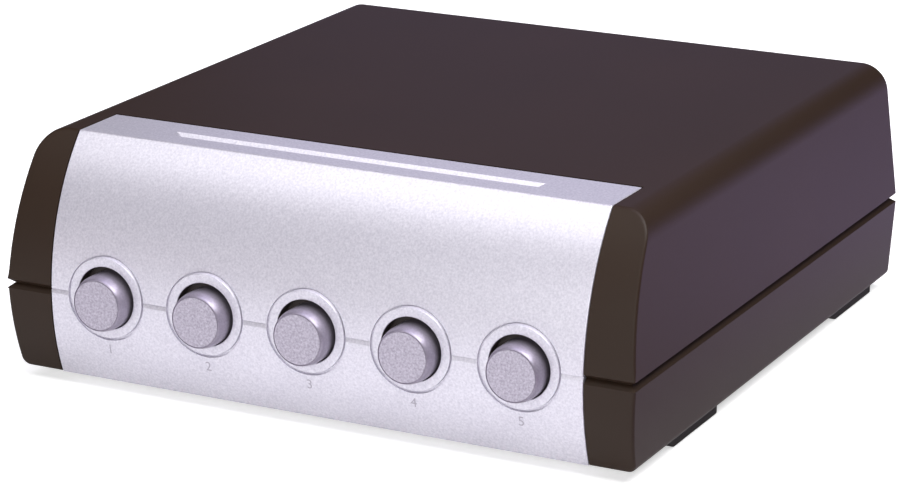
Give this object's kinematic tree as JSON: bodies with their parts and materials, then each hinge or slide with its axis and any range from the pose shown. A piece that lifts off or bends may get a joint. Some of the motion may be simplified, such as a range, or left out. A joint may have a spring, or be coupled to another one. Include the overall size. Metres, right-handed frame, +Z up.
{
  "type": "speaker selector switch",
  "caption": "Half-width desktop box with a convex silver front of latching round push buttons and sprung speaker terminals at the back.",
  "frame": {"origin": "middle of the footprint, on the plane that the feet stand on", "axes": "+Z up, +Y towards the back with the terminals, +X to the right seen from the front"},
  "size_m": [0.2398, 0.2514, 0.0886],
  "materials": {
    "case_plastic": "fine satin texture",
    "front_paint": "satin silver paint on plastic",
    "button_paint": "satin silver paint on plastic",
    "foot_rubber": "matt",
    "plate_plastic": "satin",
    "board_laminate": "satin",
    "screw_steel": "bright zinc",
    "core_steel": "varnished laminations",
    "winding_tape": "tape",
    "tag_brass": "tinned",
    "switch_plastic": "satin",
    "spring_steel": "bright",
    "plunger_plastic": "satin",
    "block_plastic": "satin",
    "lever_red": "gloss",
    "lever_black": "gloss"
  },
  "bodies": {
    "case": {"upper_cover": "case_plastic", "lower_base": "case_plastic", "front_panel": "front_paint", "terminal_plate": "plate_plastic", "circuit_board": "board_laminate", "screws": "screw_steel", "rubber_feet": "foot_rubber", "transformer_cores": "core_steel", "transformer_windings": "winding_tape", "contact_tags": "tag_brass", "switch_body_1": "switch_plastic", "switch_body_2": "switch_plastic", "switch_body_3": "switch_plastic", "switch_body_4": "switch_plastic", "switch_body_5": "switch_plastic", "switch_spring_1": "spring_steel", "switch_spring_2": "spring_steel", "switch_spring_3": "spring_steel", "switch_spring_4": "spring_steel", "switch_spring_5": "spring_steel", "terminal_block_amp": "block_plastic", "terminal_block_pair_1": "block_plastic", "terminal_block_pair_2": "block_plastic", "terminal_block_pair_3": "block_plastic", "terminal_block_pair_4": "block_plastic", "terminal_block_pair_5": "block_plastic"},
    "push_button_1": {"button_1": "button_paint", "switch_plunger_1": "plunger_plastic"},
    "push_button_2": {"button_2": "button_paint", "switch_plunger_2": "plunger_plastic"},
    "push_button_3": {"button_3": "button_paint", "switch_plunger_3": "plunger_plastic"},
    "push_button_4": {"button_4": "button_paint", "switch_plunger_4": "plunger_plastic"},
    "push_button_5": {"button_5": "button_paint", "switch_plunger_5": "plunger_plastic"},
    "lever_amp_left_plus": {"lever_amp_left_plus": "lever_red"},
    "lever_amp_left_minus": {"lever_amp_left_minus": "lever_black"},
    "lever_amp_right_plus": {"lever_amp_right_plus": "lever_red"},
    "lever_amp_right_minus": {"lever_amp_right_minus": "lever_black"},
    "lever_pair_1_left_plus": {"lever_pair_1_left_plus": "lever_red"},
    "lever_pair_1_left_minus": {"lever_pair_1_left_minus": "lever_black"},
    "lever_pair_1_right_plus": {"lever_pair_1_right_plus": "lever_red"},
    "lever_pair_1_right_minus": {"lever_pair_1_right_minus": "lever_black"},
    "lever_pair_2_left_plus": {"lever_pair_2_left_plus": "lever_red"},
    "lever_pair_2_left_minus": {"lever_pair_2_left_minus": "lever_black"},
    "lever_pair_2_right_plus": {"lever_pair_2_right_plus": "lever_red"},
    "lever_pair_2_right_minus": {"lever_pair_2_right_minus": "lever_black"},
    "lever_pair_3_left_plus": {"lever_pair_3_left_plus": "lever_red"},
    "lever_pair_3_left_minus": {"lever_pair_3_left_minus": "lever_black"},
    "lever_pair_3_right_plus": {"lever_pair_3_right_plus": "lever_red"},
    "lever_pair_3_right_minus": {"lever_pair_3_right_minus": "lever_black"},
    "lever_pair_4_left_plus": {"lever_pair_4_left_plus": "lever_red"},
    "lever_pair_4_left_minus": {"lever_pair_4_left_minus": "lever_black"},
    "lever_pair_4_right_plus": {"lever_pair_4_right_plus": "lever_red"},
    "lever_pair_4_right_minus": {"lever_pair_4_right_minus": "lever_black"},
    "lever_pair_5_left_plus": {"lever_pair_5_left_plus": "lever_red"},
    "lever_pair_5_left_minus": {"lever_pair_5_left_minus": "lever_black"},
    "lever_pair_5_right_plus": {"lever_pair_5_right_plus": "lever_red"},
    "lever_pair_5_right_minus": {"lever_pair_5_right_minus": "lever_black"}
  },
  "joints": [
    {"name": "press_button_1", "type": "slide", "parent": "case", "child": "push_button_1", "axis": [0, 1, 0], "range_m": [0, 0.0045], "stiffness_N_per_m": 250, "springref_m": -0.003, "deforming": ["switch_spring_1"]},
    {"name": "press_button_2", "type": "slide", "parent": "case", "child": "push_button_2", "axis": [0, 1, 0], "range_m": [0, 0.0045], "stiffness_N_per_m": 250, "springref_m": -0.003, "deforming": ["switch_spring_2"]},
    {"name": "press_button_3", "type": "slide", "parent": "case", "child": "push_button_3", "axis": [0, 1, 0], "range_m": [0, 0.0045], "stiffness_N_per_m": 250, "springref_m": -0.003, "deforming": ["switch_spring_3"]},
    {"name": "press_button_4", "type": "slide", "parent": "case", "child": "push_button_4", "axis": [0, 1, 0], "range_m": [0, 0.0045], "stiffness_N_per_m": 250, "springref_m": -0.003, "deforming": ["switch_spring_4"]},
    {"name": "press_button_5", "type": "slide", "parent": "case", "child": "push_button_5", "axis": [0, 1, 0], "range_m": [0, 0.0045], "stiffness_N_per_m": 250, "springref_m": -0.003, "deforming": ["switch_spring_5"]},
    {"name": "press_lever_amp_left_plus", "type": "hinge", "parent": "case", "child": "lever_amp_left_plus", "pos_m": [-0.0838, 0.1111, 0.0595], "axis": [-1, 0, 0], "range_deg": [0, 18], "stiffness_Nm_per_rad": 0.06, "springref_deg": -8.59},
    {"name": "press_lever_amp_left_minus", "type": "hinge", "parent": "case", "child": "lever_amp_left_minus", "pos_m": [-0.0712, 0.1111, 0.0595], "axis": [-1, 0, 0], "range_deg": [0, 18], "stiffness_Nm_per_rad": 0.06, "springref_deg": -8.59},
    {"name": "press_lever_amp_right_plus", "type": "hinge", "parent": "case", "child": "lever_amp_right_plus", "pos_m": [-0.0838, 0.1111, 0.0375], "axis": [-1, 0, 0], "range_deg": [0, 18], "stiffness_Nm_per_rad": 0.06, "springref_deg": -8.59},
    {"name": "press_lever_amp_right_minus", "type": "hinge", "parent": "case", "child": "lever_amp_right_minus", "pos_m": [-0.0712, 0.1111, 0.0375], "axis": [-1, 0, 0], "range_deg": [0, 18], "stiffness_Nm_per_rad": 0.06, "springref_deg": -8.59},
    {"name": "press_lever_pair_1_left_plus", "type": "hinge", "parent": "case", "child": "lever_pair_1_left_plus", "pos_m": [-0.0528, 0.1111, 0.0595], "axis": [-1, 0, 0], "range_deg": [0, 18], "stiffness_Nm_per_rad": 0.06, "springref_deg": -8.59},
    {"name": "press_lever_pair_1_left_minus", "type": "hinge", "parent": "case", "child": "lever_pair_1_left_minus", "pos_m": [-0.0402, 0.1111, 0.0595], "axis": [-1, 0, 0], "range_deg": [0, 18], "stiffness_Nm_per_rad": 0.06, "springref_deg": -8.59},
    {"name": "press_lever_pair_1_right_plus", "type": "hinge", "parent": "case", "child": "lever_pair_1_right_plus", "pos_m": [-0.0528, 0.1111, 0.0375], "axis": [-1, 0, 0], "range_deg": [0, 18], "stiffness_Nm_per_rad": 0.06, "springref_deg": -8.59},
    {"name": "press_lever_pair_1_right_minus", "type": "hinge", "parent": "case", "child": "lever_pair_1_right_minus", "pos_m": [-0.0402, 0.1111, 0.0375], "axis": [-1, 0, 0], "range_deg": [0, 18], "stiffness_Nm_per_rad": 0.06, "springref_deg": -8.59},
    {"name": "press_lever_pair_2_left_plus", "type": "hinge", "parent": "case", "child": "lever_pair_2_left_plus", "pos_m": [-0.0218, 0.1111, 0.0595], "axis": [-1, 0, 0], "range_deg": [0, 18], "stiffness_Nm_per_rad": 0.06, "springref_deg": -8.59},
    {"name": "press_lever_pair_2_left_minus", "type": "hinge", "parent": "case", "child": "lever_pair_2_left_minus", "pos_m": [-0.0092, 0.1111, 0.0595], "axis": [-1, 0, 0], "range_deg": [0, 18], "stiffness_Nm_per_rad": 0.06, "springref_deg": -8.59},
    {"name": "press_lever_pair_2_right_plus", "type": "hinge", "parent": "case", "child": "lever_pair_2_right_plus", "pos_m": [-0.0218, 0.1111, 0.0375], "axis": [-1, 0, 0], "range_deg": [0, 18], "stiffness_Nm_per_rad": 0.06, "springref_deg": -8.59},
    {"name": "press_lever_pair_2_right_minus", "type": "hinge", "parent": "case", "child": "lever_pair_2_right_minus", "pos_m": [-0.0092, 0.1111, 0.0375], "axis": [-1, 0, 0], "range_deg": [0, 18], "stiffness_Nm_per_rad": 0.06, "springref_deg": -8.59},
    {"name": "press_lever_pair_3_left_plus", "type": "hinge", "parent": "case", "child": "lever_pair_3_left_plus", "pos_m": [0.0092, 0.1111, 0.0595], "axis": [-1, 0, 0], "range_deg": [0, 18], "stiffness_Nm_per_rad": 0.06, "springref_deg": -8.59},
    {"name": "press_lever_pair_3_left_minus", "type": "hinge", "parent": "case", "child": "lever_pair_3_left_minus", "pos_m": [0.0218, 0.1111, 0.0595], "axis": [-1, 0, 0], "range_deg": [0, 18], "stiffness_Nm_per_rad": 0.06, "springref_deg": -8.59},
    {"name": "press_lever_pair_3_right_plus", "type": "hinge", "parent": "case", "child": "lever_pair_3_right_plus", "pos_m": [0.0092, 0.1111, 0.0375], "axis": [-1, 0, 0], "range_deg": [0, 18], "stiffness_Nm_per_rad": 0.06, "springref_deg": -8.59},
    {"name": "press_lever_pair_3_right_minus", "type": "hinge", "parent": "case", "child": "lever_pair_3_right_minus", "pos_m": [0.0218, 0.1111, 0.0375], "axis": [-1, 0, 0], "range_deg": [0, 18], "stiffness_Nm_per_rad": 0.06, "springref_deg": -8.59},
    {"name": "press_lever_pair_4_left_plus", "type": "hinge", "parent": "case", "child": "lever_pair_4_left_plus", "pos_m": [0.0402, 0.1111, 0.0595], "axis": [-1, 0, 0], "range_deg": [0, 18], "stiffness_Nm_per_rad": 0.06, "springref_deg": -8.59},
    {"name": "press_lever_pair_4_left_minus", "type": "hinge", "parent": "case", "child": "lever_pair_4_left_minus", "pos_m": [0.0528, 0.1111, 0.0595], "axis": [-1, 0, 0], "range_deg": [0, 18], "stiffness_Nm_per_rad": 0.06, "springref_deg": -8.59},
    {"name": "press_lever_pair_4_right_plus", "type": "hinge", "parent": "case", "child": "lever_pair_4_right_plus", "pos_m": [0.0402, 0.1111, 0.0375], "axis": [-1, 0, 0], "range_deg": [0, 18], "stiffness_Nm_per_rad": 0.06, "springref_deg": -8.59},
    {"name": "press_lever_pair_4_right_minus", "type": "hinge", "parent": "case", "child": "lever_pair_4_right_minus", "pos_m": [0.0528, 0.1111, 0.0375], "axis": [-1, 0, 0], "range_deg": [0, 18], "stiffness_Nm_per_rad": 0.06, "springref_deg": -8.59},
    {"name": "press_lever_pair_5_left_plus", "type": "hinge", "parent": "case", "child": "lever_pair_5_left_plus", "pos_m": [0.0712, 0.1111, 0.0595], "axis": [-1, 0, 0], "range_deg": [0, 18], "stiffness_Nm_per_rad": 0.06, "springref_deg": -8.59},
    {"name": "press_lever_pair_5_left_minus", "type": "hinge", "parent": "case", "child": "lever_pair_5_left_minus", "pos_m": [0.0838, 0.1111, 0.0595], "axis": [-1, 0, 0], "range_deg": [0, 18], "stiffness_Nm_per_rad": 0.06, "springref_deg": -8.59},
    {"name": "press_lever_pair_5_right_plus", "type": "hinge", "parent": "case", "child": "lever_pair_5_right_plus", "pos_m": [0.0712, 0.1111, 0.0375], "axis": [-1, 0, 0], "range_deg": [0, 18], "stiffness_Nm_per_rad": 0.06, "springref_deg": -8.59},
    {"name": "press_lever_pair_5_right_minus", "type": "hinge", "parent": "case", "child": "lever_pair_5_right_minus", "pos_m": [0.0838, 0.1111, 0.0375], "axis": [-1, 0, 0], "range_deg": [0, 18], "stiffness_Nm_per_rad": 0.06, "springref_deg": -8.59}
  ]
}
